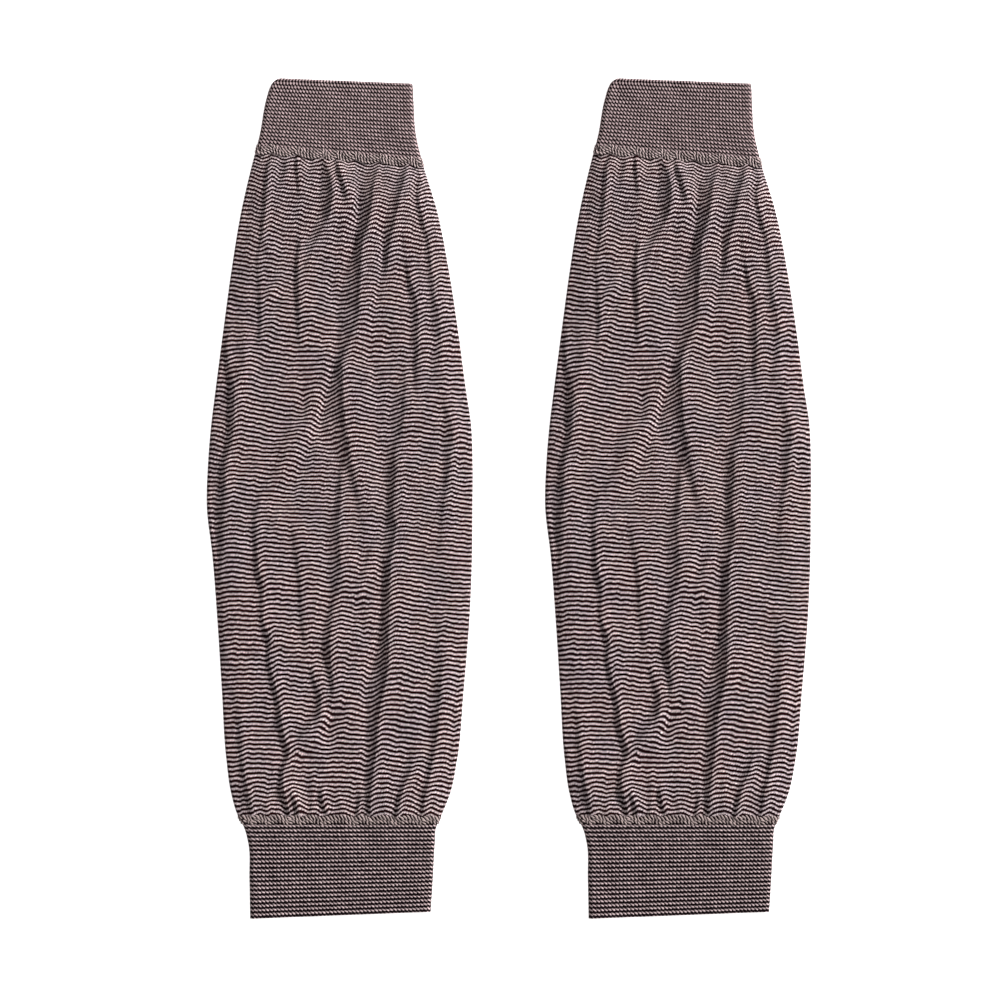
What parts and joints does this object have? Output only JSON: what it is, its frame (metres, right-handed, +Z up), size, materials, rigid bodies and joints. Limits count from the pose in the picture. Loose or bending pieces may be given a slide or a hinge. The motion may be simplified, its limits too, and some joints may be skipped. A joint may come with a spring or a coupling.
{
  "type": "pair of arm sleeves",
  "caption": "Long knitted arm sleeves laid flat side by side, each a striped gathered tube between a narrow ribbed wrist cuff and a wider ribbed cuff for the upper arm.",
  "frame": {"origin": "centre of the pair's outline seen from above, on the surface that it lies on", "axes": "+X to the right across the pair, +Y along the sleeves towards the wrist cuffs, +Z up off the surface"},
  "size_m": [0.302, 0.4194, 0.0058],
  "materials": {
    "striped_jersey": "plain knit in narrow dark aubergine and pale beige stripes, matt",
    "fine_rib": "one by one rib knit in narrow dark and pale stripes, matt",
    "coarse_rib": "one by one rib knit in dark and pale stripes, matt"
  },
  "bodies": {
    "root": {"left_body": "striped_jersey", "left_wrist_cuff": "fine_rib", "left_arm_cuff": "coarse_rib", "right_body": "striped_jersey", "right_wrist_cuff": "fine_rib", "right_arm_cuff": "coarse_rib"}
  },
  "joints": []
}
